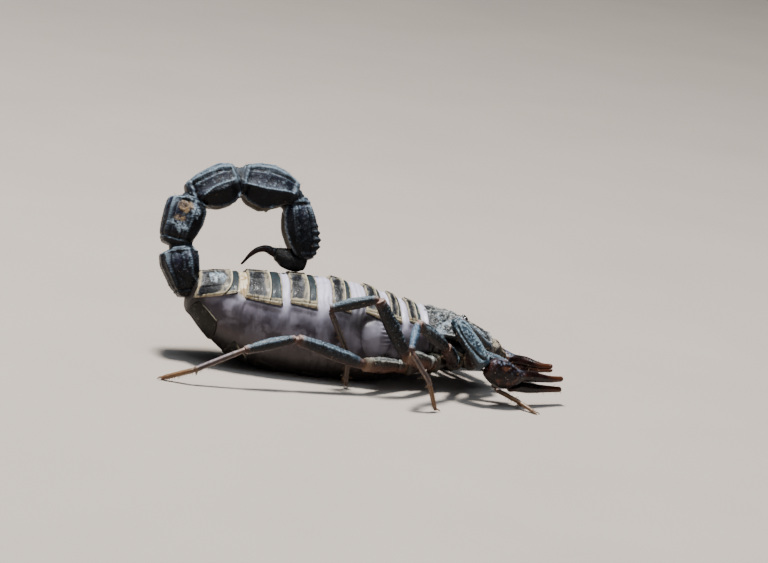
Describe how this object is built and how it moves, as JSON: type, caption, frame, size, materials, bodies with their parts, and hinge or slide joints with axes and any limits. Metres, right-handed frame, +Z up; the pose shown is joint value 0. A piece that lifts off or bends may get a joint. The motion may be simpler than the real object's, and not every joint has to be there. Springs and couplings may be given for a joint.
{
  "type": "black fat-tailed scorpion, still life-size model",
  "caption": "Still life-size model of a gravid black fat-tailed scorpion resting on its belly, tail arched over its back and pincers held forward.",
  "frame": {"origin": "in the flat that the belly rests on, on the body's middle plane, below the middle of the abdomen", "axes": "+X towards the head, +Y to the animal's left, +Z up"},
  "size_m": [0.0658, 0.0557, 0.0312],
  "materials": {
    "cuticle": "hard, glossy blue-black shell with raised granular keels",
    "carapace": "hard, coarsely granular grey-black shield with pale worn grains",
    "plate": "blue-grey dorsal plates with dark centres and cream rims",
    "membrane": "taut, finely wrinkled lilac-grey skin, darker below and white between the plates",
    "limb": "blue-black granular limb shell, red-brown at the joints and undersides",
    "tarsus": "brown to ochre foot segments with bristles and claws",
    "finger": "glossy maroon shell, orange-brown at the tips",
    "eye": "polished black domes"
  },
  "bodies": {
    "root": {"prosoma": "carapace", "trunk": "membrane", "tergite_1": "plate", "tergite_2": "plate", "tergite_3": "plate", "tergite_4": "plate", "tergite_5": "plate", "tergite_6": "plate", "tergite_7": "plate", "metasoma_1": "cuticle", "metasoma_2": "cuticle", "metasoma_3": "cuticle", "metasoma_4": "cuticle", "metasoma_5": "cuticle", "telson_vesicle": "cuticle", "telson_sting": "finger", "eye_left": "eye", "chelicera_left": "carapace", "pedipalp_left_femur": "limb", "pedipalp_left_patella": "limb", "pedipalp_left_hand": "finger", "pedipalp_left_movable_finger": "finger", "eye_right": "eye", "chelicera_right": "carapace", "pedipalp_right_femur": "limb", "pedipalp_right_patella": "limb", "pedipalp_right_hand": "finger", "pedipalp_right_movable_finger": "finger", "leg_1_left_femur": "limb", "leg_1_left_patella": "limb", "leg_1_left_tibia": "limb", "leg_1_left_tarsus": "tarsus", "leg_2_left_femur": "limb", "leg_2_left_patella": "limb", "leg_2_left_tibia": "limb", "leg_2_left_tarsus": "tarsus", "leg_3_left_femur": "limb", "leg_3_left_patella": "limb", "leg_3_left_tibia": "limb", "leg_3_left_tarsus": "tarsus", "leg_4_left_femur": "limb", "leg_4_left_patella": "limb", "leg_4_left_tibia": "limb", "leg_4_left_tarsus": "tarsus", "leg_1_right_femur": "limb", "leg_1_right_patella": "limb", "leg_1_right_tibia": "limb", "leg_1_right_tarsus": "tarsus", "leg_2_right_femur": "limb", "leg_2_right_patella": "limb", "leg_2_right_tibia": "limb", "leg_2_right_tarsus": "tarsus", "leg_3_right_femur": "limb", "leg_3_right_patella": "limb", "leg_3_right_tibia": "limb", "leg_3_right_tarsus": "tarsus", "leg_4_right_femur": "limb", "leg_4_right_patella": "limb", "leg_4_right_tibia": "limb", "leg_4_right_tarsus": "tarsus"}
  },
  "joints": []
}
